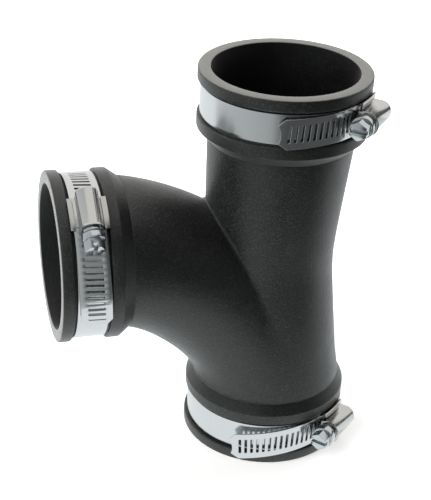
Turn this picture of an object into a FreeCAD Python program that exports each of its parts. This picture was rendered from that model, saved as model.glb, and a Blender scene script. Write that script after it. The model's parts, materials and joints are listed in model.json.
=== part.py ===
import FreeCAD, Part
import math
import os

# Flexible drain tee: one moulded soft PVC body with three pipe sockets, and a
# worm drive band clamp round each socket. All lengths are millimetres.
# The origin is the centre of the bottom mouth, +Z runs up the straight run,
# and the branch leaves towards -X.

V = FreeCAD.Vector
PLACE = FreeCAD.Placement
TURN = FreeCAD.Rotation

# Pipe sockets
pipe_d = 60.3            # outside diameter of the pipe that each socket takes
socket_play = 0.05       # radial slack before the clamp is drawn up
socket_depth = 28.5      # how far a pipe goes in before it meets the stop

# Port outside, from the mouth inwards
lip_wall = 5.4           # wall at the end lip
lip_len = 5.0
lip_round = 0.7
groove_wall = 3.2        # wall under the band
groove_len = 14.8
collar_wall = 5.2
collar_len = 4.9
collar_round = 0.6
collar_taper = 4.9       # length of the slope from the collar to the body

# Body between the ports
run_height = 170.7       # mouth to mouth
branch_reach = 96.4      # run axis to branch mouth
branch_height = 93.5     # bottom mouth to branch axis
body_wall = 4.0
top_body_d = 61.2        # run just below the top collar
waist_d = 55.8           # narrowest place of the run
waist_height = 89.0
waist_soft = 9.0         # length over which the two cones blend at the waist
waist_bow = 2.1          # how far the waist is drawn towards the branch
bottom_body_d = 64.4     # run just above the bottom collar
branch_body_d = 63.6     # bend just behind the branch collar
bend_foot_d = 65.2       # bend where it meets the bottom collar
bend_flatten = 6.6       # how far the bend's middle line is cut inside a round arc
bend_thin = 1.3          # radius lost in the middle of the bend, in its own plane
bend_narrow = 3.0        # radius lost in the middle of the bend, sideways
seat_overlap = 2.0       # how far body and collars run on into each other

# Band clamps
band_width = 12.7
band_t = 0.6
band_gap = 0.3           # radial gap between the groove and a slack band
slot_pitch = 2.6
slot_open = 1.15
slot_len = 7.0
end_clip = 3.3           # length of the clipped corners of the free end
end_clip_width = 2.65
end_hollow = 1.1         # depth of the hollow in the free end
end_plain = 2.1          # plain length between the free end's tip and its first slot
end_curl = 1.3           # how late the free end stands off, 1 is evenly
fixed_end = 9.0          # degrees past the housing where the band's fixed end lies
rise_start = 52.0        # degrees before the housing where the band starts to rise
rise_end = 14.0
drop_end = 4.0           # degrees in which the free end drops behind the saddle
tail_gap = 0.2           # between the free end and the band below it

# Saddle and worm housing
saddle_t = 0.6
saddle_half = 6.6        # half its length along the band
saddle_width = 15.5
saddle_lap = 2.1         # width of the edge folded over the housing's foot
side_gap = 0.3           # between the saddle's sides and the groove's walls
slide_gap = 0.1          # above and below the sliding band
fold_gap = 0.05
lug_len = 5.0
lug_width = 1.6
lug_offset = 3.6
foot_t = 0.65
foot_front = 5.5
foot_back = 7.6
housing_t = 0.65
housing_front = 8.5
housing_back = 9.0
back_wall = 1.8
back_round = 1.5
rim_flare = 0.7
rim_len = 1.2

# Worm screw
thread_r = 3.5
thread_root_r = 2.6
thread_tip = 0.5
thread_base = 1.2
thread_sink = 0.2        # how far the thread's foot reaches into the core
thread_turns = 5
thread_depth = 0.3       # how far the thread reaches into the band's slots
thread_gap = 0.35        # between thread and housing
neck_r = 2.2
pilot_r = 1.5
pilot_len = 1.0
journal_gap = 0.05
end_play = 0.3
shoulder_r = 3.9         # ring between the housing and the flange
shoulder_len = 1.3
throat_r = 3.2           # narrow place between the ring and the flange
throat_len = 0.9
flange_r = 4.7
flange_t = 2.6
flange_round = 0.4
hex_flats = 7.0
hex_len = 4.2
corner_trim = 0.25       # how far the end face reaches past the flats at the corners
trim_slope = 1.6         # how steeply the trimmed corners run out
driver_slot = 1.6
driver_depth = 1.9

# How finely the curved shapes are drawn, and spare sizes of cutting bodies
run_stations = 5         # sections of the run on each side of the waist
bend_step = 15           # degrees between two sections of the bend
oval_points = 16         # points that draw one oval section of the bend
band_step = 2.5          # degrees between two sections of the band's free stretch
cut_spare = 3.0
same_place = 1e-4        # edges closer than this lie at the same place

# Worked out from the sizes above
socket_r = pipe_d / 2 + socket_play
lip_r = socket_r + lip_wall
groove_r = socket_r + groove_wall
collar_r = socket_r + collar_wall
groove_end = lip_len + groove_len
collar_end = groove_end + collar_len
port_len = collar_end + collar_taper
band_place = lip_len + groove_len / 2
band_r = groove_r + band_gap
saddle_r = band_r + band_t
free_r = saddle_r + saddle_t + slide_gap
foot_r = free_r + band_t + slide_gap
screw_r = free_r + band_t + thread_r - thread_depth
bore_r = thread_r + thread_gap
hood_r = bore_r + housing_t
pitch_angle = math.degrees(slot_pitch / (free_r + band_t / 2))
slot_slant = math.degrees(math.atan(slot_pitch / (2 * math.pi * thread_r)))

# One row for each clamp: name, how the port lies, middle of the band, where the
# housing stands round the port, how far the free end goes on past the housing,
# and how far its tip strays sideways and stands off.
upright = TURN()
sideways = TURN(V(0, 1, 0), -90)
clamps = [
    ("top", upright, V(0, 0, run_height - band_place), -41.0, 70.0, 1.4, 1.7),
    ("branch", sideways, V(-branch_reach + band_place, 0, branch_height), -35.5, 78.0, 1.4, 1.7),
    ("bottom", upright, V(0, 0, band_place), -47.0, 81.0, 4.2, 3.3),
]


def ring(inner, outer, half_width, start, sweep):
    """A stretch of a flat hoop about the local Z axis, angles in degrees."""
    corners = [V(inner, 0, -half_width), V(outer, 0, -half_width),
               V(outer, 0, half_width), V(inner, 0, half_width)]
    face = Part.Face(Part.makePolygon(corners + corners[:1]))
    face.rotate(V(0, 0, 0), V(0, 0, 1), start)
    return face.revolve(V(0, 0, 0), V(0, 0, 1), sweep)


def block(x0, x1, y0, y1, z0, z1):
    return Part.makeBox(x1 - x0, y1 - y0, z1 - z0, V(x0, y0, z0))


def rim_edges(shape, radius, height):
    """The circular edges of one radius at one height on the local Z axis."""
    found = []
    for edge in shape.Edges:
        curve = edge.Curve
        if isinstance(curve, Part.Circle) and abs(curve.Radius - radius) < same_place:
            if abs(curve.Center.z - height) < same_place:
                found.append(edge)
    return found


# Tee body

def port_outside(body_r):
    """Lip, groove, collar and slope, with the mouth at Z = 0 facing +Z."""
    sink = (collar_r - body_r) * seat_overlap / collar_taper
    outline = [
        (0, 0), (lip_r, 0), (lip_r, -lip_len), (groove_r, -lip_len), (groove_r, -groove_end),
        (collar_r, -groove_end), (collar_r, -collar_end),
        (body_r - sink, -port_len - seat_overlap), (0, -port_len - seat_overlap),
    ]
    points = [V(r, 0, z) for r, z in outline]
    solid = Part.Face(Part.makePolygon(points + points[:1])).revolve(V(0, 0, 0), V(0, 0, 1), 360)
    lip = rim_edges(solid, lip_r, 0) + rim_edges(solid, lip_r, -lip_len)
    solid = solid.makeFillet(min(lip_round, lip_len / 3), lip)
    collar = rim_edges(solid, collar_r, -groove_end) + rim_edges(solid, collar_r, -collar_end)
    return solid.makeFillet(min(collar_round, collar_len / 3), collar)


def port_inside():
    """The socket as a cutting body, from past the mouth down to the pipe stop."""
    return Part.makeCylinder(socket_r, socket_depth + cut_spare, V(0, 0, -socket_depth))


def at_ports(top, branch, bottom):
    """Copies of three port bodies, each at its own mouth."""
    top.Placement = PLACE(V(0, 0, run_height), TURN())
    branch.Placement = PLACE(V(-branch_reach, 0, branch_height), sideways)
    bottom.Placement = PLACE(V(0, 0, 0), TURN(V(1, 0, 0), 180))
    return [top, branch, bottom]


def run_skin(inset):
    """The straight run: two slight cones that blend at the waist."""
    top_z = run_height - port_len
    sections = []
    for step in range(-run_stations, run_stations + 1):
        above = step > 0
        span = (top_z - waist_height) if above else (waist_height - port_len)
        away = span * abs(step) / run_stations
        soft = math.hypot(away, waist_soft) - waist_soft
        share = soft / (math.hypot(span, waist_soft) - waist_soft)
        end_r = (top_body_d if above else bottom_body_d) / 2
        radius = waist_d / 2 + (end_r - waist_d / 2) * share - inset
        height = waist_height + (away if above else -away)
        sections.append((radius, V(-waist_bow * (1 - share), 0, height)))
    sections.insert(0, (sections[0][0], sections[0][1] - V(0, 0, seat_overlap)))
    sections.append((sections[-1][0], sections[-1][1] + V(0, 0, seat_overlap)))
    wires = [Part.Wire(Part.makeCircle(radius, centre, V(0, 0, 1))) for radius, centre in sections]
    return Part.makeLoft(wires, True, False)


def bend_skin(inset):
    """The bend from the branch collar down to the bottom collar."""
    pivot = V(-branch_reach + port_len, 0, port_len)
    drop = branch_height - port_len
    across = branch_reach - port_len
    rings = []
    for degrees in range(0, 91, bend_step):
        angle = math.radians(degrees)
        middle = math.sin(2 * angle)
        share = degrees / 90
        line = drop * math.cos(angle) ** 2 + across * math.sin(angle) ** 2 - bend_flatten * middle
        plain = (branch_body_d * (1 - share) + bend_foot_d * share) / 2 - inset
        tall = plain - bend_thin * middle
        wide = plain - bend_narrow * middle
        outwards = V(math.sin(angle), 0, math.cos(angle))
        rings.append((tall, wide, pivot + outwards * line, outwards))
    first = rings[0]
    last = rings[-1]
    rings.insert(0, (first[0], first[1], first[2] - V(seat_overlap, 0, 0), first[3]))
    rings.append((last[0], last[1], last[2] - V(0, 0, seat_overlap), last[3]))
    wires = []
    for tall, wide, centre, outwards in rings:
        points = []
        for number in range(oval_points):
            turn = 2 * math.pi * number / oval_points
            points.append(centre + outwards * (tall * math.cos(turn)) + V(0, wide * math.sin(turn), 0))
        oval = Part.BSplineCurve()
        oval.interpolate(Points=points, PeriodicFlag=True)
        wires.append(Part.Wire(oval.toShape()))
    return Part.makeLoft(wires, True, False)


def tee_body():
    ends = at_ports(*[port_outside(d / 2) for d in (top_body_d, branch_body_d, bottom_body_d)])
    sockets = at_ports(port_inside(), port_inside(), port_inside())
    solid = run_skin(0).fuse([bend_skin(0)] + ends)
    hollow = run_skin(body_wall).fuse([bend_skin(body_wall)] + sockets)
    return solid.cut(hollow).removeSplitter()


# Band clamp, built about its own Z axis with the housing at +X and the screw's
# head towards -Y

def free_place(angle, tail, drift, lift):
    """Inner radius and sideways place of the band's free stretch at one angle."""
    leave = -math.degrees(saddle_half / free_r)
    rest_r = saddle_r + tail_gap
    if angle > rise_end:
        share = min(1.0, (rise_start - angle) / (rise_start - rise_end))
        return band_r + (free_r - band_r) * smooth(share), 0.0
    if angle > leave:
        return free_r, 0.0
    if angle > leave - drop_end:
        return free_r + (rest_r - free_r) * smooth((leave - angle) / drop_end), 0.0
    share = (leave - drop_end - angle) / (tail + leave - drop_end)
    return rest_r + lift * share ** end_curl, -drift * share ** 2


def smooth(share):
    return share * share * (3 - 2 * share)


def band(tail, drift, lift):
    """Slotted strip: once round the groove, up over the saddle and on past it."""
    half = band_width / 2
    base = ring(band_r, band_r + band_t, half, rise_start, 360 + fixed_end - rise_start)
    count = round((rise_start + tail) / band_step)
    wires = []
    for step in range(count + 1):
        angle = rise_start - (rise_start + tail) * step / count
        inner, shift = free_place(angle, tail, drift, lift)
        corners = [V(inner, 0, shift - half), V(inner + band_t, 0, shift - half),
                   V(inner + band_t, 0, shift + half), V(inner, 0, shift + half)]
        wire = Part.makePolygon(corners + corners[:1])
        wire.rotate(V(0, 0, 0), V(0, 0, 1), angle)
        wires.append(wire)
    free = Part.makeLoft(wires, True, False)
    cutters = []
    slotted = tail - math.degrees(end_plain / free_r)
    for number in range(-int(slotted / pitch_angle), int(rise_start / pitch_angle)):
        angle = number * pitch_angle
        inner, shift = free_place(angle, tail, drift, lift)
        slot = block(-tail_gap / 2, band_t * 2, -slot_open / 2, slot_open / 2, -slot_len / 2, slot_len / 2)
        slot.rotate(V(0, 0, 0), V(1, 0, 0), -slot_slant)
        slot.translate(V(inner, 0, shift))
        slot.rotate(V(0, 0, 0), V(0, 0, 1), angle)
        cutters.append(slot)
    tip_r, tip_shift = free_place(-tail, tail, drift, lift)
    tip = tail_trim(half)
    tip.translate(V(tip_r, 0, tip_shift))
    tip.rotate(V(0, 0, 0), V(0, 0, 1), -tail)
    free = free.cut(cutters + [tip])
    base = base.cut([lug(side, band_r - band_t) for side in (-1, 1)])
    return base.fuse(free)


def tail_trim(half):
    """Cuts the corners off the free end and hollows its edge."""
    depth = band_t * 3
    width = half - end_clip_width
    beyond = half + cut_spare
    parts = []
    for side in (-1, 1):
        outline = [(-cut_spare, beyond), (end_clip, beyond), (end_clip, half), (0, width),
                   (-cut_spare, width)]
        points = [V(-band_t, y, side * z) for y, z in outline]
        parts.append(Part.Face(Part.makePolygon(points + points[:1])).extrude(V(depth, 0, 0)))
    radius = (width ** 2 + end_hollow ** 2) / (2 * end_hollow)
    parts.append(Part.makeCylinder(radius, depth, V(-band_t, end_hollow - radius, 0), V(1, 0, 0)))
    return parts[0].fuse(parts[1:])


def lug(side, from_r):
    """A saddle lug that hooks down through the band's fixed end."""
    near = side * lug_offset - lug_width / 2
    return block(from_r, saddle_r + saddle_t / 2, near, near + lug_width, -lug_len / 2, lug_len / 2)


def saddle():
    """Plate between the two layers of the band, its sides folded over the housing's feet."""
    low = band_width / 2 + fold_gap
    tall = foot_r + foot_t + fold_gap
    narrow = groove_len / 2 - side_gap
    wide = saddle_width / 2
    clear = lip_r + side_gap
    flare = wide - narrow
    right = [
        (saddle_r + saddle_t, 0), (saddle_r + saddle_t, low), (clear - saddle_t / 2, low),
        (clear + flare - saddle_t / 2, wide - saddle_t), (tall, wide - saddle_t), (tall, wide - saddle_lap),
        (tall + saddle_t, wide - saddle_lap), (tall + saddle_t, wide), (clear + flare, wide),
        (clear, narrow), (saddle_r, narrow), (saddle_r, 0),
    ]
    half = Part.Face(Part.makePolygon([V(r, 0, z) for r, z in right + right[:1]]))
    reach = math.degrees(saddle_half / saddle_r)
    half.rotate(V(0, 0, 0), V(0, 0, 1), -reach)
    upper = half.revolve(V(0, 0, 0), V(0, 0, 1), 2 * reach)
    lower = upper.mirror(V(0, 0, 0), V(0, 0, 1))
    hooks = [lug(side, band_r) for side in (-1, 1)]
    return upper.fuse([lower] + hooks).removeSplitter()


def hood(radius, front, back):
    """An arch along Y over the screw, with straight sides down to the feet."""
    arch = Part.makeCylinder(radius, front + back, V(screw_r, -front, 0), V(0, 1, 0))
    sides = block(free_r, screw_r, -front, back, -radius, radius)
    return arch.fuse(sides)


def housing():
    """Stamped cover that holds the screw against the band."""
    shell = hood(hood_r, housing_front, housing_back)
    back = housing_back - back_wall
    back_edges = []
    for edge in shell.Edges:
        box = edge.BoundBox
        at_back = box.YMin > housing_back - same_place and box.XMin > screw_r - same_place
        if at_back and isinstance(edge.Curve, Part.Circle):
            back_edges.append(edge)
    shell = shell.makeFillet(min(back_round, back_wall * 0.9), back_edges)
    rim = Part.makeCone(hood_r + rim_flare, hood_r, rim_len, V(screw_r, -housing_front, 0), V(0, 1, 0))
    feet = ring(foot_r, foot_r + foot_t, band_width / 2, -90, 180)
    feet = feet.common(block(0, screw_r, -foot_front, foot_back, -band_width, band_width))
    solid = shell.fuse([rim, feet])
    inside = hood(bore_r, housing_front - housing_t, back)
    under = Part.makeCylinder(foot_r, 4 * band_width, V(0, 0, -2 * band_width))
    neck_hole = Part.makeCylinder(neck_r + journal_gap, housing_t + cut_spare,
                                  V(screw_r, -housing_front - cut_spare / 2, 0), V(0, 1, 0))
    pilot_hole = Part.makeCylinder(pilot_r + journal_gap, pilot_len + cut_spare,
                                   V(screw_r, back - cut_spare, 0), V(0, 1, 0))
    return solid.cut([inside, under, neck_hole, pilot_hole]).removeSplitter()


def screw():
    """Worm screw with a flanged, slotted hexagon head, its axis along Y."""
    front = housing_front + end_play
    flange_start = front + shoulder_len + throat_len
    flange_end = flange_start + flange_t
    head_end = flange_end + hex_len
    back = housing_back - back_wall
    root_front = housing_front - housing_t - end_play
    root_back = end_play - back
    core = Part.makeCylinder(thread_root_r, root_front - root_back, V(0, 0, root_back))
    neck = Part.makeCylinder(neck_r, front - root_front + shoulder_len / 2, V(0, 0, root_front))
    pilot = Part.makeCylinder(pilot_r, pilot_len, V(0, 0, root_back - pilot_len))
    shoulder = Part.makeCylinder(shoulder_r, shoulder_len, V(0, 0, front))
    throat = Part.makeCylinder(throat_r, flange_end - front - shoulder_len, V(0, 0, front + shoulder_len / 2))
    flange = Part.makeCylinder(flange_r, flange_t, V(0, 0, flange_start))
    flange = flange.makeFillet(flange_round, rim_edges(flange, flange_r, flange_end))
    corners = []
    for number in range(7):
        angle = math.radians(60 * number + 30)
        corner_r = hex_flats / math.sqrt(3)
        corners.append(V(corner_r * math.cos(angle), corner_r * math.sin(angle), flange_end - flange_t / 2))
    hexagon = Part.Face(Part.makePolygon(corners)).extrude(V(0, 0, hex_len + flange_t / 2))
    head_len = head_end - flange_start
    end_r = hex_flats / 2 + corner_trim
    trim = Part.makeCone(end_r + head_len * trim_slope, end_r, head_len, V(0, 0, flange_start))
    hexagon = hexagon.common(trim)
    notch = block(-flange_r, flange_r, -driver_slot / 2, driver_slot / 2,
                  head_end - driver_depth, head_end + cut_spare)
    start = -slot_pitch * thread_turns / 2
    helix = Part.makeHelix(slot_pitch, slot_pitch * thread_turns, thread_root_r)
    root = thread_root_r - thread_sink
    tooth = [V(root, 0, -thread_base / 2), V(thread_r, 0, -thread_tip / 2), V(thread_r, 0, thread_tip / 2),
             V(root, 0, thread_base / 2)]
    thread = Part.Wire(helix).makePipeShell([Part.makePolygon(tooth + tooth[:1])], True, True)
    thread.translate(V(0, 0, start))
    solid = core.fuse([neck, pilot, shoulder, throat, flange, hexagon, thread]).cut(notch)
    solid.Placement = PLACE(V(screw_r, 0, 0), TURN(V(1, 0, 0), 90))
    return solid


def write(name, shape):
    shape.exportStep("parts/" + name + ".step")
    box = shape.BoundBox
    print(name, "solids", len(shape.Solids), "valid", shape.isValid(), "volume", round(shape.Volume, 1),
          "box", [round(v, 1) for v in (box.XMin, box.YMin, box.ZMin, box.XMax, box.YMax, box.ZMax)])


def main():
    os.makedirs("parts", exist_ok=True)
    write("tee_body", tee_body())
    for name, lie, middle, angle, tail, drift, lift in clamps:
        place = PLACE(middle, lie.multiply(TURN(V(0, 0, 1), angle)))
        pieces = {"band": band(tail, drift, lift), "saddle": saddle(), "housing": housing(), "screw": screw()}
        for kind, shape in pieces.items():
            shape.Placement = place.multiply(shape.Placement)
            write(kind + "_" + name, shape)


main()
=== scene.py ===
import bpy
import bmesh
import json
import math
import numpy as np
from mathutils import Matrix, Vector


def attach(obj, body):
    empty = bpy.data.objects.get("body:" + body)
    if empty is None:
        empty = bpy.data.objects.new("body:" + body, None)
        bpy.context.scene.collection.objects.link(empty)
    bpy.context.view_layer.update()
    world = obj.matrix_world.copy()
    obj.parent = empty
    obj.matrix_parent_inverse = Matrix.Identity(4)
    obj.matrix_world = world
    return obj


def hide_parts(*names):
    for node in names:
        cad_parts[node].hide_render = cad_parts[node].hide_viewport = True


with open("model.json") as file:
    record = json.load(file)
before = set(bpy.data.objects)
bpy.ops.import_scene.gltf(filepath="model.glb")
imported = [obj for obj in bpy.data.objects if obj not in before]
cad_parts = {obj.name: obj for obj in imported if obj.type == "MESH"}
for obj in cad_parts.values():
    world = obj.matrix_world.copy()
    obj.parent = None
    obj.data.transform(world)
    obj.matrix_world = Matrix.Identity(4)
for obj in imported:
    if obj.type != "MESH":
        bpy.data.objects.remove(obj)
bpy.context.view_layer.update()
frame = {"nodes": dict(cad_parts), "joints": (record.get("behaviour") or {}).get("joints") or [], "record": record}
scene = bpy.context.scene
mounts = {mount["name"]: mount for mount in frame["record"]["mounts"]}
joints = {joint["name"]: joint for joint in frame["joints"]}
mm = 0.001
weld = 0.001 * mm       # points nearer to each other than this are one
print("frame loaded")


def linear(hexColour):
    # sRGB hex to linear, with alpha
    channels = [int(hexColour[i:i + 2], 16) / 255 for i in (1, 3, 5)]
    return [c / 12.92 if c <= 0.04045 else ((c + 0.055) / 1.055) ** 2.4 for c in channels] + [1.0]


def addNode(tree, kind, settings=None, **inputs):
    # inputs are named after their sockets, with _ for a space, or s0, s1 by number
    made = tree.nodes.new(kind)
    for name, value in (settings or {}).items():
        setattr(made, name, value)
    for name, value in inputs.items():
        socket = made.inputs[int(name[1:])] if name[0] == "s" and name[1:].isdigit() \
            else made.inputs[name.replace("_", " ")]
        if isinstance(value, bpy.types.NodeSocket):
            tree.links.new(value, socket)
        else:
            socket.default_value = value
    return made


def meshObject(name, points, faces, smooth=True):
    mesh = bpy.data.meshes.new(name)
    mesh.from_pydata([tuple(p) for p in points], [], [tuple(f) for f in faces])
    mesh.polygons.foreach_set("use_smooth", [smooth] * len(mesh.polygons))
    made = bpy.data.objects.new(name, mesh)
    scene.collection.objects.link(made)
    return made


def applied(item):
    # the evaluated mesh with every modifier in it
    mesh = bpy.data.meshes.new_from_object(item.evaluated_get(bpy.context.evaluated_depsgraph_get()))
    item.modifiers.clear()
    item.data = mesh
    return item


def creased(item, degrees):
    # smooth shading that breaks at edges sharper than this
    edges = bmesh.new()
    edges.from_mesh(item.data)
    limit = math.radians(degrees)
    for face in edges.faces:
        face.smooth = True
    for edge in edges.edges:
        edge.smooth = len(edge.link_faces) != 2 or edge.calc_face_angle(0) < limit
    edges.to_mesh(item.data)
    edges.free()


# Camera, matched to the rims of the ports in the photograph
photo = {
    "height": 500,              # pixels
    "focal": 1326.7,            # pixels
    "distance": 0.5651,         # metres from the camera to what it aims at
    "azimuth": -16.07,          # degrees
    "elevation": 28.64,
    "roll": 2.87,
    "aimX": -0.02568,
    "aimZ": 0.08974,
    "nearest": 0.01,            # nothing closer to the camera than this is drawn
}


def makeCamera(p):
    a, e, roll = (math.radians(p[key]) for key in ("azimuth", "elevation", "roll"))
    back = Vector((math.sin(a) * math.cos(e), -math.cos(a) * math.cos(e), math.sin(e)))
    level = Vector((math.cos(a), math.sin(a), 0))
    upright = back.cross(level)
    right = level * math.cos(roll) + upright * math.sin(roll)
    up = upright * math.cos(roll) - level * math.sin(roll)
    data = bpy.data.cameras.new("camera")
    data.lens = p["focal"] * data.sensor_width / p["height"]    # the sensor's width spans the longer side
    data.clip_start = p["nearest"]
    camera = bpy.data.objects.new("camera", data)
    scene.collection.objects.link(camera)
    turn = Matrix((right, up, back)).transposed().to_4x4()
    place = Vector((p["aimX"], 0, p["aimZ"])) + back * p["distance"]
    camera.matrix_world = Matrix.Translation(place) @ turn
    scene.camera = camera


# Studio: white surroundings, three soft boxes, and two bent glowing cards that only gloss sees, painting
# reflections
studio = {
    "floorSize": 4.0,           # metres
    "floor": "#F2F2F2",
    "backdrop": "#FFFFFF",      # what the camera sees behind the floor
    "surroundings": "#FFFDFA",  # what gloss sees of it, a little warmer
    "below": "#F4FAFB",         # what gloss sees of the floor, a little cooler
    "ambient": 0.14,            # how strongly the surroundings light what is matt
    "glowNear": 0.34,           # own glow of the floor at the object, where it takes a shadow
    "glowFar": 0.85,
    "glowReach": (0.12, 0.45),
    "mirrored": 1.15,           # how bright gloss shows the floor
    "boxAim": (0, 0, 0.08),
    "boxes": {                  # name: place, size, watts
        "leftBox": ((-0.95, -0.42, 0.60), (1.1, 1.0), 27.0),
        "rightBox": ((0.95, 0.60, 0.45), (1.0, 1.0), 12.0),
        "topBox": ((-0.10, 0.55, 1.10), (1.4, 1.0), 11.0),
    },
    # each card: radius, lower and upper height, degrees from the camera's side with left negative,
    # and how bright gloss sees it there; both glow and paint reflections: the front card paints a dark
    # reflection on the body's front, the side card paints the housings' dark stripe
    "cards": {
        "frontCard": (0.155, (0.004, 0.40),
                      (-100, -60, -6, 9, 24, 85), (0.85, 0.68, 0.52, 0.12, 0.10, 0.12)),
        "sideCard": (1.2, (0.02, 0.30),
                     (70, 84, 160, 175), (1.0, 0.10, 0.10, 1.0)),
    },
    "cardSteps": 60,
}


def seenDirectly(tree):
    # 1 where the camera, gloss or glass looks at a surface, 0 where it only lights others
    path = addNode(tree, "ShaderNodeLightPath")
    either = addNode(tree, "ShaderNodeMath", {"operation": "MAXIMUM"},
                     s0=path.outputs["Is Camera Ray"], s1=path.outputs["Is Glossy Ray"])
    return addNode(tree, "ShaderNodeMath", {"operation": "MAXIMUM"},
                   s0=either.outputs[0], s1=path.outputs["Is Transmission Ray"]).outputs[0]


def newMaterial(name):
    material = bpy.data.materials.new(name)
    material.use_nodes = True
    material.node_tree.nodes.clear()
    return material, material.node_tree


def floorPaint(s):
    # matt white floor that glows a little, less beside the object, so that it keeps the shadow
    material, tree = newMaterial("pale studio floor")
    matt = addNode(tree, "ShaderNodeBsdfDiffuse", Color=linear(s["floor"]))
    place = addNode(tree, "ShaderNodeTexCoord")
    away = addNode(tree, "ShaderNodeVectorMath", {"operation": "LENGTH"}, s0=place.outputs["Object"])
    glow = addNode(tree, "ShaderNodeMapRange", {"interpolation_type": "SMOOTHSTEP"},
                   Value=away.outputs["Value"], From_Min=s["glowReach"][0], From_Max=s["glowReach"][1],
                   To_Min=s["glowNear"], To_Max=s["glowFar"])
    light = addNode(tree, "ShaderNodeEmission", Color=linear(s["surroundings"]), Strength=glow.outputs[0])
    both = addNode(tree, "ShaderNodeAddShader", s0=matt.outputs[0], s1=light.outputs[0])
    mirrored = addNode(tree, "ShaderNodeEmission", Color=linear(s["below"]), Strength=s["mirrored"])
    path = addNode(tree, "ShaderNodeLightPath")
    seen = addNode(tree, "ShaderNodeMixShader", s0=seenDirectly(tree), s1=matt.outputs[0],
                   s2=both.outputs[0])
    mix = addNode(tree, "ShaderNodeMixShader", s0=path.outputs["Is Glossy Ray"], s1=seen.outputs[0],
                  s2=mirrored.outputs[0])
    addNode(tree, "ShaderNodeOutputMaterial", Surface=mix.outputs[0])
    return material


def cardPaint(s):
    # a glowing sheet that throws no light on what is matt; gloss sees on it the tone of each point's shade, a
    # painted reflection
    material, tree = newMaterial("gloss-only glowing card")
    shade = addNode(tree, "ShaderNodeAttribute", {"attribute_name": "shade"})
    path = addNode(tree, "ShaderNodeLightPath")
    tone = addNode(tree, "ShaderNodeMath", {"operation": "MULTIPLY"}, s0=shade.outputs["Fac"],
                   s1=path.outputs["Is Glossy Ray"])
    felt = addNode(tree, "ShaderNodeEmission", Color=linear(s["below"]), Strength=tone.outputs[0])
    addNode(tree, "ShaderNodeOutputMaterial", Surface=felt.outputs[0])
    return material


def bentCard(name, paint, steps, radius, heights, angles, shades):
    # an upright glowing card bent round the object, whose shades, painted reflections, run on evenly between the
    # given angles
    points = []
    tones = []
    for angle in np.linspace(angles[0], angles[-1], steps + 1):
        a = math.radians(photo["azimuth"] + angle)
        for z in heights:
            points.append((photo["aimX"] + math.sin(a) * radius, -math.cos(a) * radius, z))
            tones.append(np.interp(angle, angles, shades))
    faces = [(2 * i, 2 * i + 2, 2 * i + 3, 2 * i + 1) for i in range(steps)]
    card = meshObject(name, points, faces)
    card.data.attributes.new("shade", "FLOAT", "POINT").data.foreach_set("value", tones)
    card.data.materials.append(paint)
    card.visible_camera = False
    card.visible_shadow = False
    return card


def surroundings(s):
    # white to the camera and gloss, dim to what is matt, so that the soft boxes shape it
    world = bpy.data.worlds.new("studio")
    world.use_nodes = True
    tree = world.node_tree
    tree.nodes.clear()
    path = addNode(tree, "ShaderNodeLightPath")
    tone = addNode(tree, "ShaderNodeMix", {"data_type": "RGBA"}, s0=path.outputs["Is Camera Ray"],
                   s6=linear(s["surroundings"]), s7=linear(s["backdrop"]))
    white = addNode(tree, "ShaderNodeBackground", Color=tone.outputs[2], Strength=1.0)
    dim = addNode(tree, "ShaderNodeBackground", Color=linear(s["surroundings"]), Strength=s["ambient"])
    mix = addNode(tree, "ShaderNodeMixShader", s0=seenDirectly(tree), s1=dim.outputs[0],
                  s2=white.outputs[0])
    addNode(tree, "ShaderNodeOutputWorld", Surface=mix.outputs[0])
    return world


def makeStudio(s):
    scene.world = surroundings(s)
    for name, (place, size, watts) in s["boxes"].items():
        data = bpy.data.lights.new(name, "AREA")
        data.shape = "RECTANGLE"
        data.size, data.size_y = size
        data.energy = watts
        lamp = bpy.data.objects.new(name, data)
        lamp.location = place
        lamp.rotation_euler = (Vector(s["boxAim"]) - Vector(place)).to_track_quat("-Z", "Y").to_euler()
        lamp.visible_glossy = False     # gloss shows the white surroundings instead
        scene.collection.objects.link(lamp)
    far = s["floorSize"] / 2
    corners = [(-far, -far, 0), (far, -far, 0), (far, far, 0), (-far, far, 0)]
    floor = meshObject("floor", corners, [(0, 1, 2, 3)], smooth=False)
    floor.data.materials.append(floorPaint(s))
    paint = cardPaint(s)
    [bentCard(name, paint, s["cardSteps"], *row) for name, row in s["cards"].items()]
    scene.view_settings.view_transform = "Standard"


makeCamera(photo)
makeStudio(studio)
print("camera and studio made")


# Moulded body
tee = {
    "top": mounts["top_socket"]["pos_m"][2],
    "reach": -mounts["branch_socket"]["pos_m"][0],
    "branchHeight": mounts["branch_socket"]["pos_m"][2],
    "bore": mounts["top_socket"]["dims"]["r_mm"] * mm,
    "socketDepth": mounts["top_socket"]["dims"]["length_mm"] * mm,
    "wall": 4.0 * mm,
    "topWidth": 61.2 * mm,       # run just below the top collar
    "waistWidth": 55.8 * mm,
    "waistHeight": 89.0 * mm,
    "waistBlend": 9.0 * mm,
    "waistBow": 2.1 * mm,        # the waist leans towards the branch
    "bottomWidth": 64.4 * mm,
    "branchWidth": 63.6 * mm,
    "footWidth": 65.2 * mm,      # bend where it meets the bottom collar
    "bendFlatten": 6.6 * mm,     # how far the bend's middle line is cut inside a round arc
    "bendThin": 1.3 * mm,        # how much the bend's radius shrinks halfway round, in its own plane
    "bendNarrow": 3.0 * mm,      # and across it
    "creaseRound": 1.1 * mm,     # reach of the soft fillet between bend and run
    "grid": 1.0 * mm,            # size of the mesh's squares
    "halfSpace": 36.0 * mm,      # the skin is looked for this far to each side of the run's axis
    "sink": 1.0 * mm,            # how far the skin reaches into each port
    "settleRounds": 4,
    "relaxRounds": 8,
    "relaxShare": 0.6,           # how far a point moves to the middle of its neighbours in a round
}
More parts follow.
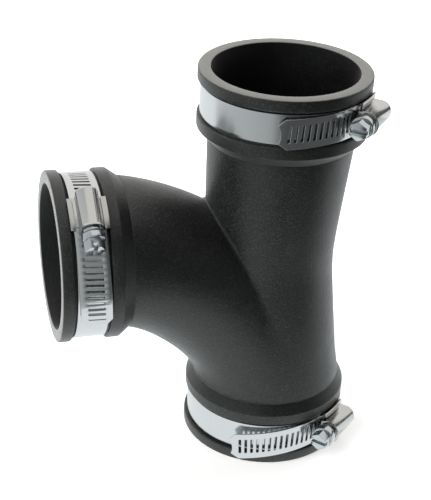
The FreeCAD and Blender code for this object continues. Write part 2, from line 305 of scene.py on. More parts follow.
port = {
    "lipWall": 5.4 * mm,
    "lipLength": 5.0 * mm,
    "lipRound": 0.7 * mm,
    "grooveWall": 3.2 * mm,
    "grooveLength": 14.8 * mm,
    "collarWall": 5.2 * mm,
    "collarLength": 4.9 * mm,
    "collarRound": 0.7 * mm,
    "slope": 4.9 * mm,
    "innerRound": 0.4 * mm,
    "innerLap": 0.15 * mm,       # how far the port's inside stands proud of the skin's
    "endLap": 0.5 * mm,          # how far the port's inside goes on past its slope
    "markReach": 0.12 * mm,      # how near the mouth and the bore a point counts as on them
    "segments": 144,
    "cornerSteps": 4,            # faces of a rounded corner
    "crease": 35,                # degrees, past which an edge is shaded sharp
}
port["length"] = port["lipLength"] + port["grooveLength"] + port["collarLength"] + port["slope"]


def runOutside(points, t):
    # how far points lie outside the straight run: two slight cones with a soft waist
    x, y, z = points.T
    above = z > t["waistHeight"]
    span = np.where(above, t["top"] - port["length"] - t["waistHeight"], t["waistHeight"] - port["length"])
    soft = np.hypot(z - t["waistHeight"], t["waistBlend"]) - t["waistBlend"]
    share = np.minimum(soft / (np.hypot(span, t["waistBlend"]) - t["waistBlend"]), 1)
    end = np.where(above, t["topWidth"], t["bottomWidth"]) / 2
    radius = t["waistWidth"] / 2 + (end - t["waistWidth"] / 2) * share
    return np.hypot(x + t["waistBow"] * (1 - share), y) - radius


def bendOutside(points, t):
    # how far points lie outside the bend, whose sections are ovals in planes about one pivot
    x, y, z = points.T
    dx = x + t["reach"] - port["length"]
    dz = z - port["length"]
    angle = np.arctan2(np.maximum(dx, 0), np.maximum(dz, 0))
    out = np.where(dx < 0, dz, np.where(dz < 0, dx, np.hypot(dx, dz)))
    drop = t["branchHeight"] - port["length"]
    across = t["reach"] - port["length"]
    middle = np.sin(2 * angle)
    line = drop * np.cos(angle) ** 2 + across * np.sin(angle) ** 2 - t["bendFlatten"] * middle
    share = angle / (math.pi / 2)
    plain = (t["branchWidth"] * (1 - share) + t["footWidth"] * share) / 2
    tall = plain - t["bendThin"] * middle
    wide = plain - t["bendNarrow"] * middle
    return (np.hypot((out - line) / tall, y / wide) - 1) * np.minimum(tall, wide)


def bodyOutside(points, t):
    # the two shapes run into each other with a soft fillet
    run = runOutside(points, t)
    bend = bendOutside(points, t)
    near = np.maximum(t["creaseRound"] - np.abs(run - bend), 0) / t["creaseRound"]
    return np.minimum(run, bend) - near * near * t["creaseRound"] / 4


def settle(points, outside, rounds):
    # moves points onto the surface where outside() is zero
    tiny = 0.02 * mm
    flattest = 1e-6         # keeps a point still where the shape has no slope
    for _ in range(rounds):
        value = outside(points)
        slope = np.stack([(outside(points + d) - outside(points - d)) / (2 * tiny)
                          for d in np.eye(3) * tiny], axis=1)
        steep = np.maximum((slope ** 2).sum(1), flattest)
        points = points - slope * (value / steep)[:, None]
    return points


def netSurface(outside, low, high, step):
    # a mesh of even squares over the surface where outside() is zero, open at the box's sides
    axes = [np.linspace(low[i], high[i], int(round((high[i] - low[i]) / step)) + 1) for i in range(3)]
    grid = np.stack(np.meshgrid(*axes, indexing="ij"), -1)
    inside = (outside(grid.reshape(-1, 3)) < 0).reshape(grid.shape[:3])
    size = np.array(inside.shape) - 1
    corners = np.zeros(size, int)
    for i in (0, 1):
        for j in (0, 1):
            for k in (0, 1):
                corners += inside[i:i + size[0], j:j + size[1], k:k + size[2]]
    mixed = (corners > 0) & (corners < 8)
    number = np.full(size, -1)
    number[mixed] = np.arange(mixed.sum())
    cells = np.argwhere(mixed)
    points = np.stack([axis[0] + (cells[:, i] + 0.5) * (axis[1] - axis[0]) for i, axis in enumerate(axes)],
                      axis=1)
    faces = []
    for axis in range(3):
        one, two = (axis + 1) % 3, (axis + 2) % 3
        first = np.take(inside, range(0, size[axis]), axis)
        after = np.take(inside, range(1, size[axis] + 1), axis)
        for place in np.argwhere(first != after):
            if 0 < place[one] < size[one] and 0 < place[two] < size[two]:
                ring = []
                for back1, back2 in ((1, 1), (0, 1), (0, 0), (1, 0)):
                    cell = place.copy()
                    cell[one] -= back1
                    cell[two] -= back2
                    ring.append(number[tuple(cell)])
                faces.append(ring if first[tuple(place)] else ring[::-1])
    return points, np.array(faces)


def relaxed(points, faces, outside, rounds, share):
    # evens the squares out along the surface, with the open rims left where they are
    ends = np.concatenate([faces, np.roll(faces, -1, axis=1)]).reshape(2, -1)
    count = np.bincount(ends[0], minlength=len(points)).astype(float)
    both = np.bincount(ends[1], minlength=len(points)) + count
    pairs = set(zip(*ends.tolist()))
    rim = np.zeros(len(points), bool)
    for a, b in pairs:
        if (b, a) not in pairs:
            rim[a] = rim[b] = True
    for _ in range(rounds):
        total = np.zeros_like(points)
        np.add.at(total, ends[0], points[ends[1]])
        np.add.at(total, ends[1], points[ends[0]])
        moved = points + (total / both[:, None] - points) * share
        moved[rim] = points[rim]
        points = settle(moved, outside, 1)
    return points


def makeSkin(t):
    # the body between its three ports, as one wall
    low = (port["length"] - t["reach"] - t["sink"], -t["halfSpace"], port["length"] - t["sink"])
    high = (t["halfSpace"], t["halfSpace"], t["top"] - port["length"] + t["sink"])

    def outside(points):
        return bodyOutside(points, t)

    points, faces = netSurface(outside, low, high, t["grid"])
    points = settle(points, outside, t["settleRounds"])
    points = relaxed(points, faces, outside, t["relaxRounds"], t["relaxShare"])
    skin = meshObject("teeSkin", points, faces)
    wall = skin.modifiers.new("wall", "SOLIDIFY")
    wall.thickness = t["wall"]
    wall.offset = -1
    return applied(skin)


def roundedOutline(corners, steps):
    # corners are (radius, height, rounding); a rounded corner becomes a short arc
    line = []
    for i, (r, z, rounding) in enumerate(corners):
        here = Vector((r, z))
        if rounding == 0:
            line.append(here)
            continue
        before = (Vector(corners[i - 1][:2]) - here).normalized()
        after = (Vector(corners[(i + 1) % len(corners)][:2]) - here).normalized()
        halfAngle = before.angle(after) / 2
        reach = rounding / math.tan(halfAngle)
        centre = here + (before + after).normalized() * (rounding / math.sin(halfAngle))
        start = here + before * reach - centre
        turn = start.angle_signed(here + after * reach - centre)
        for step in range(steps + 1):
            a = -turn * step / steps
            line.append(centre + Vector((start.x * math.cos(a) - start.y * math.sin(a),
                                         start.x * math.sin(a) + start.y * math.cos(a))))
    return line


def portShell(p, t, bodyWidth):
    # one port as a closed ring about Z, its mouth at height 0 facing up
    lip, groove, collar = (t["bore"] + p[key] for key in ("lipWall", "grooveWall", "collarWall"))
    grooveEnd = p["lipLength"] + p["grooveLength"]
    collarEnd = grooveEnd + p["collarLength"]
    inner = bodyWidth / 2 - t["wall"] - p["innerLap"]
    fall = (collar - bodyWidth / 2) / p["slope"]
    foot = bodyWidth / 2 - t["wall"] / 2
    corners = [
        (t["bore"], 0, p["innerRound"]), (lip, 0, p["lipRound"]), (lip, -p["lipLength"], p["lipRound"]),
        (groove, -p["lipLength"], p["innerRound"]), (groove, -grooveEnd, p["innerRound"]),
        (collar, -grooveEnd, p["collarRound"]), (collar, -collarEnd, p["collarRound"]),
        (foot, -collarEnd - (collar - foot) / fall, 0), (inner, -p["length"] - p["endLap"], 0),
        (inner, -t["socketDepth"], p["innerRound"]), (t["bore"], -t["socketDepth"], p["innerRound"]),
    ]
    line = roundedOutline(corners, p["cornerSteps"])
    count = len(line)
    points = []
    faces = []
    for s in range(p["segments"]):
        a = 2 * math.pi * s / p["segments"]
        points += [(r * math.cos(a), r * math.sin(a), z) for r, z in line]
        here, there = s * count, (s + 1) % p["segments"] * count
        for i in range(count):
            j = (i + 1) % count
            faces.append((here + i, here + j, there + j, there + i))
    return points, faces


def makeBody(t, p):
    # the skin and the three ports, of which the trimmed mouths and the bores are marked for the painted sheen and
    # painted shade
    bodyWidths = {
        "top_socket": t["topWidth"], "branch_socket": t["branchWidth"], "bottom_socket": t["bottomWidth"],
    }
    shells = [makeSkin(t)]
    for name, bodyWidth in bodyWidths.items():
        points, faces = portShell(p, t, bodyWidth)
        shell = meshObject(name, points, faces)
        creased(shell, p["crease"])
        marks = {
            "mouth": [float(z > -p["markReach"]) for x, y, z in points],
            "bore": [float(math.hypot(x, y) < t["bore"] + p["markReach"]) for x, y, z in points],
        }
        for mark, values in marks.items():
            shell.data.attributes.new(mark, "FLOAT", "POINT").data.foreach_set("value", values)
        turn = Vector((0, 0, 1)).rotation_difference(Vector(mounts[name]["axis"])).to_matrix().to_4x4()
        shell.data.transform(Matrix.Translation(mounts[name]["pos_m"]) @ turn)
        shells.append(shell)
    with bpy.context.temp_override(active_object=shells[0], selected_editable_objects=shells):
        bpy.ops.object.join()
    body = shells[0]
    body.name = "teeBody"
    edges = bmesh.new()
    edges.from_mesh(body.data)
    bmesh.ops.recalc_face_normals(edges, faces=edges.faces)
    edges.to_mesh(body.data)
    edges.free()
    return body


body = makeBody(tee, port)
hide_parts("tee_body")
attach(body, "tee")
print("body made:", len(body.data.polygons), "faces")


# Band clamps
strip = {
    "width": 12.7 * mm,
    "thickness": 0.6 * mm,
    "rounding": 0.19 * mm,       # of the rolled and punched edges
    "play": 0.3 * mm,            # between the groove and a slack band
    "pitch": 2.6 * mm,
    "slotOpen": 1.15 * mm,
    "slotLength": 7.0 * mm,
    "slotCorner": 0.3 * mm,
    "slotLean": 6.74,            # degrees
    "clipLength": 3.3 * mm,      # clipped corners of the free end
    "clipWidth": 2.65 * mm,
    "shoulder": 5.0 * mm,        # where a line of points runs halfway across the clipped corner
    "hollow": 1.1 * mm,          # depth of the hollow in the free end
    "plainEnd": 2.1 * mm,        # of the free end, past its last slot
    "fixedEnd": 9.0,             # degrees before the housing's middle where the fixed end lies
    "riseStart": 52.0,           # and where the strip that comes round begins to rise over it
    "riseEnd": 14.0,             # and is high enough to pass over the saddle
    "dropEnd": 4.0,              # degrees in which it comes down again past the saddle
    "curl": 1.3,                 # how late the free end stands off
    "underTail": 0.2 * mm,       # gap between the loop and the free end over it
    "saddleThickness": 0.6 * mm,
    "saddleHalf": 6.6 * mm,      # half the saddle's length along the band
    "slide": 0.1 * mm,           # gap between the saddle and the strip over it
    "tails": {                   # degrees past the housing's middle, sideways drift, stand-off
        "top": (70.0, 1.4 * mm, 1.7 * mm),
        "branch": (78.0, 1.4 * mm, 1.7 * mm),
        "bottom": (81.0, 4.2 * mm, 3.3 * mm),
    },
    "step": 0.5,                 # degrees between two points of the line that the strip follows
    "roundingSteps": 3,          # faces of a rounded edge
    "tipRows": 5,                # rows of faces in the plain part of the tip
    "seam": 0.004 * mm,          # points of two cells nearer than this are one
    "crease": 25,                # degrees, past which an edge is shaded sharp
}
strip["loopRadius"] = tee["bore"] + port["grooveWall"] + strip["play"]
strip["overLoop"] = strip["loopRadius"] + strip["thickness"]
strip["freeRadius"] = strip["overLoop"] + strip["saddleThickness"] + strip["slide"]
strip["edge"] = strip["width"] / 2
strip["tipHalf"] = strip["edge"] - strip["clipWidth"]
oneSide = [share * strip["tipHalf"] for share in (0.25, 0.5, 0.75, 1)] + [strip["shoulder"], strip["edge"]]
strip["columns"] = [-w for w in reversed(oneSide)] + [0.0] + oneSide      # lines of points across the strip


def smoothStep(share):
    return share * share * (3 - 2 * share)


def stripPlace(angle, b, tail, drift, lift):
    # inner radius and sideways place of the strip; its angle falls from past 360 degrees at the
    # fixed end, through 0 under the screw, to less than 0 on the free end
    leave = -math.degrees(b["saddleHalf"] / b["freeRadius"])
    rest = b["overLoop"] + b["underTail"]
    if angle > b["riseStart"]:
        return b["loopRadius"], 0.0
    if angle > b["riseEnd"]:
        share = (b["riseStart"] - angle) / (b["riseStart"] - b["riseEnd"])
        return b["loopRadius"] + (b["freeRadius"] - b["loopRadius"]) * smoothStep(share), 0.0
    if angle > leave:
        return b["freeRadius"], 0.0
    if angle > leave - b["dropEnd"]:
        return b["freeRadius"] + (rest - b["freeRadius"]) * smoothStep((leave - angle) / b["dropEnd"]), 0.0
    share = (leave - b["dropEnd"] - angle) / (tail + leave - b["dropEnd"])
    return rest + lift * share ** b["curl"], -drift * share ** 2


def stripLine(b, tail, drift, lift):
    # the line through the middle of the strip's thickness, with the angle at each point
    start = 360 + b["fixedEnd"]
    count = int(round((start + tail) / b["step"]))
    angles = [start - (start + tail) * i / count for i in range(count + 1)]
    line = []
    for angle in angles:
        inner, shift = stripPlace(angle, b, tail, drift, lift)
        r = inner + b["thickness"] / 2
        a = math.radians(angle)
        line.append((r * math.cos(a), r * math.sin(a), shift))
    return np.array(line), np.array(angles)


def plainPatch(b, start, end, rows):
    # a flat stretch of strip: points (along, across) and squares
    columns = b["columns"]
    n = len(columns)
    points = [(start + (end - start) * i / rows, w) for i in range(rows + 1) for w in columns]
    squares = [(i * n + j, i * n + n + j, i * n + n + j + 1, i * n + j + 1)
               for i in range(rows) for j in range(n - 1)]
    return points, squares


def slotPatch(b, centre):
    # one pitch of strip as a ring of squares round its slot
    reach = b["pitch"] / 2
    wide, end, corner = b["slotOpen"] / 2, b["slotLength"] / 2, b["slotCorner"]
    inset = corner * (1 - math.sqrt(0.5))
    columns = b["columns"]
    outer, inner = [], []
    for side in (1, -1):
        ordered = columns if side == 1 else columns[::-1]
        for i, w in enumerate(ordered):
            outer.append((side * reach, w))
            atCorner = i in (0, len(ordered) - 1)
            inner.append((side * (wide - inset), math.copysign(end - inset, w)) if atCorner
                         else (side * wide, w / abs(columns[1]) * (end - corner)))
        for step in (1, 0, -1):
            outer.append((side * step * reach / 2, side * b["edge"]))
            inner.append((side * step * (wide - corner), side * end))
    lean = math.tan(math.radians(b["slotLean"]))
    inner = [(x + y * lean, y) for x, y in inner]
    n = len(outer)
    squares = [(i, (i + 1) % n, n + (i + 1) % n, n + i) for i in range(n)]
    return [(x + centre, y) for x, y in outer + inner], squares


def tipPatch(b, length):
    # the last slot and the plain end, with clipped corners and a hollow between them
    points, squares = slotPatch(b, b["pitch"] / 2)
    more, others = plainPatch(b, b["pitch"], length, b["tipRows"])
    squares = squares + [tuple(i + len(points) for i in square) for square in others]
    trimmed = []
    for x, y in points + more:
        beside = max(abs(y) - b["tipHalf"], 0) / b["clipWidth"]
        within = 1 - min(abs(y) / b["tipHalf"], 1) ** 2
        x *= 1 - beside * b["clipLength"] / length
        x -= max(x - b["pitch"], 0) / (length - b["pitch"]) * within * b["hollow"]
        trimmed.append((x, y))
    return trimmed, squares


def plate(name, patch, b, joined):
    # gives a flat patch its thickness and rounded rims, open on the lines where the next patch joins
    edges = bmesh.new()
    corners = [edges.verts.new((x, y, 0)) for x, y in patch[0]]
    for square in patch[1]:
        edges.faces.new([corners[i] for i in square])
    bmesh.ops.remove_doubles(edges, verts=edges.verts, dist=weld)
    edges.verts.index_update()
    points = np.array([v.co[:2] for v in edges.verts])
    squares = [[v.index for v in face.verts] for face in edges.faces]
    if (points[squares[0][2]] - points[squares[0][0]]) @ [[0, 1], [-1, 0]] @ \
            (points[squares[0][3]] - points[squares[0][1]]) < 0:
        squares = [square[::-1] for square in squares]
    edges.free()
    directed = {(face[i], face[(i + 1) % len(face)]) for face in squares for i in range(len(face))}
    rims = [(i, j) for i, j in sorted(directed) if (j, i) not in directed
            and not any(abs(points[i][0] - x) < weld and abs(points[j][0] - x) < weld for x in joined)]
    outwards = np.zeros_like(points)
    first = {}
    for i, j in rims:
        run = points[j] - points[i]
        normal = np.array([run[1], -run[0]]) / np.hypot(*run)
        for k in (i, j):
            outwards[k] += normal
            first.setdefault(k, normal)
    for k, normal in first.items():
        outwards[k] /= outwards[k] @ normal
    count = len(points)
    made = []
    faces = []
    quarter = [math.pi / 2 * i / b["roundingSteps"] for i in range(b["roundingSteps"] + 1)]
    levels = [(b["rounding"] * (1 - math.sin(a)), b["rounding"] * (1 - math.cos(a))) for a in quarter]
    for side in (1, -1):
        for inset, fall in levels if side == 1 else levels[::-1]:
            flat = points - outwards * inset
            made.append(np.column_stack([flat, np.full(count, side * (b["thickness"] / 2 - fall))]))
    for level in range(len(made) - 1):
        low, high = level * count, (level + 1) * count
        faces += [(j + low, i + low, i + high, j + high) for i, j in rims]
    faces += [tuple(square) for square in squares]
    bottom = (len(made) - 1) * count
    faces += [tuple(i + bottom for i in reversed(square)) for square in squares]
    used = sorted({i for face in faces for i in face})
    number = {i: k for k, i in enumerate(used)}
    everything = np.concatenate(made)
    return meshObject(name, [everything[i] for i in used], [[number[i] for i in face] for face in faces])


def stripTree(b):
    # lays slotted and plain cells end to end, and bends them along the strip's line
    tree = bpy.data.node_groups.new("slottedStrip", "GeometryNodeTree")
    sockets = {}
    kinds = {
        "Line": "Geometry", "Slot cell": "Object", "Plain cell": "Object", "Fixed end": "Object",
        "Tip": "Object", "Pitch": "Float", "First slot": "Float", "Slots": "Int", "Plain length": "Float",
        "Plain cells": "Int", "Tip start": "Float", "Steel": "Material",
    }
    for name, kind in kinds.items():
        sockets[name] = tree.interface.new_socket(name=name, in_out="INPUT",
                                                  socket_type="NodeSocket" + kind)
    tree.interface.new_socket(name="Strip", in_out="OUTPUT", socket_type="NodeSocketGeometry")
    given = addNode(tree, "NodeGroupInput").outputs
    joined = addNode(tree, "GeometryNodeJoinGeometry")
    for cell, count, start, offset in (("Slot cell", "Slots", "First slot", "Pitch"),
                                       ("Plain cell", "Plain cells", "Plain length", "Plain length")):
        first = addNode(tree, "ShaderNodeCombineXYZ", X=given[start])
        step = addNode(tree, "ShaderNodeCombineXYZ", X=given[offset])
        row = addNode(tree, "GeometryNodeMeshLine", Count=given[count], Start_Location=first.outputs[0],
                      Offset=step.outputs[0])
        shape = addNode(tree, "GeometryNodeObjectInfo", Object=given[cell])
        many = addNode(tree, "GeometryNodeInstanceOnPoints", Points=row.outputs[0],
                       Instance=shape.outputs["Geometry"])
        tree.links.new(many.outputs[0], joined.inputs[0])
    end = addNode(tree, "GeometryNodeObjectInfo", Object=given["Fixed end"])
    tree.links.new(end.outputs["Geometry"], joined.inputs[0])
    tip = addNode(tree, "GeometryNodeObjectInfo", Object=given["Tip"])
    far = addNode(tree, "ShaderNodeCombineXYZ", X=given["Tip start"])
    moved = addNode(tree, "GeometryNodeTransform", Geometry=tip.outputs["Geometry"],
                    Translation=far.outputs[0])
    tree.links.new(moved.outputs[0], joined.inputs[0])
    whole = addNode(tree, "GeometryNodeRealizeInstances", Geometry=joined.outputs[0])
    welded = addNode(tree, "GeometryNodeMergeByDistance", Geometry=whole.outputs[0], Distance=b["seam"])
    curve = addNode(tree, "GeometryNodeMeshToCurve", Mesh=given["Line"])
    straight = addNode(tree, "GeometryNodeInputPosition")
    flat = addNode(tree, "ShaderNodeSeparateXYZ", Vector=straight.outputs[0])
    at = addNode(tree, "GeometryNodeSampleCurve", {"mode": "LENGTH"}, Curves=curve.outputs[0],
                 Length=flat.outputs["X"])
    out = addNode(tree, "ShaderNodeVectorMath", {"operation": "CROSS_PRODUCT"}, s0=(0, 0, 1),
                  s1=at.outputs["Tangent"])
    unit = addNode(tree, "ShaderNodeVectorMath", {"operation": "NORMALIZE"}, s0=out.outputs[0])
    side = addNode(tree, "ShaderNodeVectorMath", {"operation": "CROSS_PRODUCT"}, s0=unit.outputs[0],
                   s1=at.outputs["Tangent"])
    place = at.outputs["Position"]
    for direction, amount in ((unit, "Z"), (side, "Y")):
        part = addNode(tree, "ShaderNodeVectorMath", {"operation": "SCALE"}, s0=direction.outputs[0],
                       Scale=flat.outputs[amount])
        place = addNode(tree, "ShaderNodeVectorMath", {"operation": "ADD"}, s0=place,
                        s1=part.outputs[0]).outputs[0]
    bent = addNode(tree, "GeometryNodeSetPosition", Geometry=welded.outputs[0], Position=place)
    ready = addNode(tree, "GeometryNodeRealizeInstances", Geometry=bent.outputs[0])
    painted = addNode(tree, "GeometryNodeSetMaterial", Geometry=ready.outputs[0], Material=given["Steel"])
    addNode(tree, "NodeGroupOutput", Strip=painted.outputs[0])
    return tree, {name: socket.identifier for name, socket in sockets.items()}


def clampFrame(name):
    # the clamp's own axes: X towards its housing, Y along its screw, Z along its port
    loop, worm = joints["clamp_" + name + "_turn"], joints["worm_" + name + "_turn"]
    middle = Vector(loop["pos_m"])
    out = (Vector(worm["pos_m"]) - middle).normalized()
    axes = Matrix((out, Vector(worm["axis"]).normalized(), Vector(loop["axis"]).normalized())).transposed()
    return Matrix.Translation(middle) @ axes.to_4x4()


def makeBand(name, b, tree, identifiers, steel):
    # one strip in its own clamp's frame: plain from its fixed end, slotted to its tip
    tail, drift, lift = b["tails"][name]
    line, angles = stripLine(b, tail, drift, lift)
    travelled = np.concatenate([[0], np.cumsum(np.linalg.norm(np.diff(line, axis=0), axis=1))])
    slotAngle = math.degrees(b["pitch"] / (b["freeRadius"] + b["thickness"] / 2))
    before = int(b["riseStart"] / slotAngle) - 1
    after = int((tail - math.degrees(b["plainEnd"] / b["freeRadius"])) / slotAngle)
    underScrew = float(np.interp(0, -angles, travelled))
    firstSlot = underScrew - before * b["pitch"]
    tipStart = underScrew + (after - 0.5) * b["pitch"]
    plainSpan = firstSlot - b["pitch"] / 2
    plainCells = int(round(plainSpan / (b["pitch"] / 2)))
    plainLength = plainSpan / plainCells
    tipLength = float(travelled[-1]) - tipStart
    cells = {
        "Slot cell": plate("slotCell", slotPatch(b, 0), b, (-b["pitch"] / 2, b["pitch"] / 2)),
        "Plain cell": plate("plainCell", plainPatch(b, 0, plainLength, 1), b, (0, plainLength)),
        "Fixed end": plate("fixedEnd", plainPatch(b, 0, plainLength, 1), b, (plainLength,)),
        "Tip": plate("tip", tipPatch(b, tipLength), b, (0,)),
    }
    made = meshObject("band" + name.capitalize(), line, [])
    made.data.edges.add(len(line) - 1)
    made.data.edges.foreach_set("vertices", [i for k in range(len(line) - 1) for i in (k, k + 1)])
    bend = made.modifiers.new("strip", "NODES")
    bend.node_group = tree
    values = {
        "Pitch": b["pitch"], "First slot": firstSlot, "Slots": before + after,
        "Plain length": plainLength, "Plain cells": plainCells - 1, "Tip start": tipStart, "Steel": steel,
    }
    for key, value in {**cells, **values}.items():
        bend[identifiers[key]] = value
    applied(made)
    for cell in cells.values():
        bpy.data.objects.remove(cell)
    made.data.transform(clampFrame(name))
    creased(made, b["crease"])
    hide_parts("band_" + name)
    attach(made, "clamp_" + name)
    print("band", name, "made:", len(made.data.polygons), "faces")


# Saddles, housings and screws
hardware = {
    "pieces": {                 # edge rounding, how its body's name begins, material slot
        "saddle": (0.10 * mm, "clamp_", "stamped_steel"),
        "housing": (0.14 * mm, "clamp_", "stamped_steel"),
        "screw": (0.09 * mm, "worm_", "screw_steel"),
    },
    "flatter": 0.6,             # degrees; faces that meet at less become one
    "sharper": 35,              # degrees; edges that bend more are rounded
    "roundingSteps": 2,
    "crease": 32,               # degrees, past which an edge is shaded sharp
}


def makeHardware(kind, name, h, steel):
    # a welded copy of the solid, its edges rounded
    width, bodyPrefix, slot = h["pieces"][kind]
    node = kind + "_" + name
    made = bpy.data.objects.new(kind + name.capitalize(), frame["nodes"][node].data.copy())
    scene.collection.objects.link(made)
    edges = bmesh.new()
    edges.from_mesh(made.data)
    bmesh.ops.remove_doubles(edges, verts=edges.verts, dist=weld)
    bmesh.ops.dissolve_limit(edges, angle_limit=math.radians(h["flatter"]), verts=edges.verts,
                             edges=edges.edges)
    edges.to_mesh(made.data)
    edges.free()
    bevel = made.modifiers.new("edges", "BEVEL")
    bevel.width = width
    bevel.segments = h["roundingSteps"]
    bevel.limit_method = "ANGLE"
    bevel.angle_limit = math.radians(h["sharper"])
    applied(made)
    creased(made, h["crease"])
    made.data.materials.clear()
    made.data.materials.append(steel)
    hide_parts(node)
    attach(made, bodyPrefix + name)


# Finishes
rubber = {
    "dark": "#0A0B0B",
    "pale": "#191B19",
    "mottle": 9.0 * mm,         # size of the faint clouds between dark and pale
    "grain": 0.7 * mm,          # the real grain is about 0.2 mm, and is drawn as coarse as it needs to show
    "grainDepth": 0.22 * mm,
    "grainStrength": 0.9,
    "speck": "#333533",         # colour of the grain's high spots
    "speckFrom": 0.5,           # of the grain's height, where a speck begins
    "speckFull": 0.72,
    "roughness": 0.35,
    "roughnessSpread": 0.05,    # to each side, between the clouds
    "cloudRange": (0.3, 0.7),   # of the clouds' noise, from smooth to rough
    "ior": 1.5,
    "specular": 0.55,
    "sheen": 0.2,
    "sheenRoughness": 0.3,
    "mouthPaintedSheen": "#5C5A56",       # trimmed mouths, paler as a painted sheen
    "cutRoughness": 0.20,
    "borePaintedShade": 0.25,           # painted shade: the bores have this share of the colour
    "partingWidth": 0.16 * mm,  # to each side of the line where the mould halves met
    "partingHeight": 0.08 * mm,
    "partingStrength": 0.35,
}
brushing = {
    "length": 30,               # of a streak, in spacings
    "smudge": 6.0 * mm,         # size of the faint handling marks
    "sum": (0.7, 1.3),          # of streaks and smudges, from smooth to rough
    "spread": (-0.04, 0.05),    # added to the roughness from smooth to rough
    "tone": 0.12,               # how much the streaks darken the tint
    "bumpStrength": 0.05,
    "bumpHeight": 0.012 * mm,
}
# each steel: name, tint, roughness and the spacing of its streaks, which in the real ones is under
# 0.1 mm and is drawn as coarse as it needs to show
steels = {
    "band": ("rolled stainless strip", "#D6D7D8", 0.20, 0.35 * mm),
    "saddle": ("stamped stainless plate", "#BFBEBB", 0.22, 0.6 * mm),
    "housing": ("pressed stainless cover", "#C9C8C6", 0.17, 0.6 * mm),
    "screw": ("zinc plated screw steel", "#C6CACD", 0.16, 0.5 * mm),
}


def objectPlace(tree, scale):
    place = addNode(tree, "ShaderNodeTexCoord")
    return addNode(tree, "ShaderNodeMapping", Vector=place.outputs["Object"], Scale=scale).outputs[0]


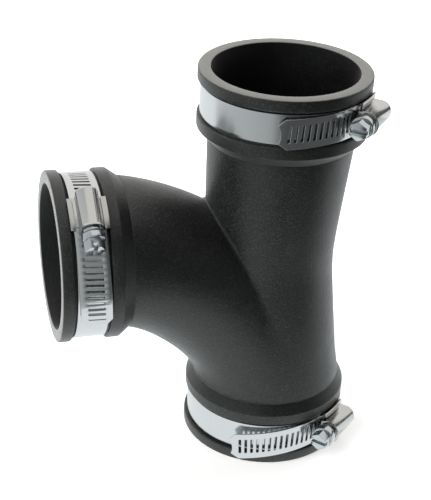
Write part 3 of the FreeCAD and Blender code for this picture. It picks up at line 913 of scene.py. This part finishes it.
def softPvc(r):
    # plasticised PVC, injection moulded: near black and matt, faintly mottled and speckled, with a
    # fine mould grain and the thin line where the two mould halves met; the trimmed mouths are
    # smoother and get a paler colour as a painted sheen, and the bores are darkened as painted shade
    material, tree = newMaterial("moulded soft PVC")
    cloud = addNode(tree, "ShaderNodeTexNoise", Vector=objectPlace(tree, (1 / r["mottle"],) * 3), Scale=1.0,
                    Detail=4.0, Roughness=0.6)
    mottled = addNode(tree, "ShaderNodeMix", {"data_type": "RGBA"}, s0=cloud.outputs["Fac"],
                      s6=linear(r["dark"]), s7=linear(r["pale"]))
    grain = addNode(tree, "ShaderNodeTexNoise", Vector=objectPlace(tree, (1 / r["grain"],) * 3), Scale=1.0,
                    Detail=3.0, Roughness=0.6)
    specks = addNode(tree, "ShaderNodeMapRange", Value=grain.outputs["Fac"], From_Min=r["speckFrom"],
                     From_Max=r["speckFull"])
    colour = addNode(tree, "ShaderNodeMix", {"data_type": "RGBA"}, s0=specks.outputs[0],
                     s6=mottled.outputs[2], s7=linear(r["speck"]))
    rough = addNode(tree, "ShaderNodeMapRange", Value=cloud.outputs["Fac"],
                    From_Min=r["cloudRange"][0], From_Max=r["cloudRange"][1],
                    To_Min=r["roughness"] - r["roughnessSpread"],
                    To_Max=r["roughness"] + r["roughnessSpread"])
    mouth = addNode(tree, "ShaderNodeAttribute", {"attribute_name": "mouth"}).outputs["Fac"]
    bore = addNode(tree, "ShaderNodeAttribute", {"attribute_name": "bore"}).outputs["Fac"]
    # painted shade: the bores' colour is darkened
    outer = addNode(tree, "ShaderNodeMapRange", Value=bore, To_Min=1.0, To_Max=r["borePaintedShade"])
    shaded = addNode(tree, "ShaderNodeVectorMath", {"operation": "SCALE"}, s0=colour.outputs[2],
                     Scale=outer.outputs[0])
    # painted sheen: the mouths' colour is paler in place of the sheen they catch
    mouthSheen = addNode(tree, "ShaderNodeMix", {"data_type": "RGBA"}, s0=mouth, s6=shaded.outputs[0],
                  s7=linear(r["mouthPaintedSheen"]))
    smooth = addNode(tree, "ShaderNodeMix", s0=mouth, s2=rough.outputs[0], s3=r["cutRoughness"])
    place = addNode(tree, "ShaderNodeTexCoord")
    split = addNode(tree, "ShaderNodeSeparateXYZ", Vector=place.outputs["Object"])
    beside = addNode(tree, "ShaderNodeMath", {"operation": "ABSOLUTE"}, s0=split.outputs["Y"])
    ridge = addNode(tree, "ShaderNodeMapRange", {"interpolation_type": "SMOOTHSTEP"},
                    Value=beside.outputs[0], From_Min=0.0, From_Max=r["partingWidth"],
                    To_Min=1.0, To_Max=0.0)
    fine = addNode(tree, "ShaderNodeBump", Strength=r["grainStrength"], Distance=r["grainDepth"],
                   Height=grain.outputs["Fac"])
    bump = addNode(tree, "ShaderNodeBump", Strength=r["partingStrength"], Distance=r["partingHeight"],
                   Height=ridge.outputs[0], Normal=fine.outputs[0])
    shader = addNode(tree, "ShaderNodeBsdfPrincipled", Base_Color=mouthSheen.outputs[2],
                     Roughness=smooth.outputs[0], IOR=r["ior"], Specular_IOR_Level=r["specular"],
                     Sheen_Weight=r["sheen"], Sheen_Roughness=r["sheenRoughness"], Normal=bump.outputs[0])
    addNode(tree, "ShaderNodeOutputMaterial", Surface=shader.outputs[0])
    return material


def brushedSteel(name, tint, roughness, spacing, across, b):
    # rolled stainless sheet, or the screws' zinc plate: bright, satin, finely streaked one way and
    # a little smudged
    material, tree = newMaterial(name)
    stretch = [1 / (b["length"] * spacing)] * 3
    stretch[across] = 1 / spacing
    streaks = addNode(tree, "ShaderNodeTexNoise", Vector=objectPlace(tree, stretch), Scale=1.0, Detail=4.0,
                      Roughness=0.7)
    smudge = addNode(tree, "ShaderNodeTexNoise", Vector=objectPlace(tree, (1 / b["smudge"],) * 3),
                     Scale=1.0, Detail=3.0, Roughness=0.6)
    both = addNode(tree, "ShaderNodeMath", {"operation": "ADD"}, s0=streaks.outputs["Fac"],
                   s1=smudge.outputs["Fac"])
    rough = addNode(tree, "ShaderNodeMapRange", Value=both.outputs[0],
                    From_Min=b["sum"][0], From_Max=b["sum"][1],
                    To_Min=roughness + b["spread"][0], To_Max=roughness + b["spread"][1])
    colour = addNode(tree, "ShaderNodeMix", {"data_type": "RGBA", "blend_type": "MULTIPLY"}, s0=b["tone"],
                     s6=linear(tint), s7=streaks.outputs["Fac"])
    bump = addNode(tree, "ShaderNodeBump", Strength=b["bumpStrength"], Distance=b["bumpHeight"],
                   Height=streaks.outputs["Fac"])
    shader = addNode(tree, "ShaderNodeBsdfPrincipled", Base_Color=colour.outputs[2],
                     Roughness=rough.outputs[0], Metallic=1.0, Normal=bump.outputs[0])
    addNode(tree, "ShaderNodeOutputMaterial", Surface=shader.outputs[0])
    return material


# The body's finish, and then each clamp with its own
body.data.materials.clear()
body.data.materials.append(softPvc(rubber))
bandTree, bandInputs = stripTree(strip)
for name in strip["tails"]:
    across = 0 if name == "branch" else 2       # the port's axis, which the streaks run round
    finish = {kind: brushedSteel(row[0] + " " + name, *row[1:], across, brushing)
              for kind, row in steels.items()}
    makeBand(name, strip, bandTree, bandInputs, finish["band"])
    for kind in hardware["pieces"]:
        makeHardware(kind, name, hardware, finish[kind])
print("clamps made")
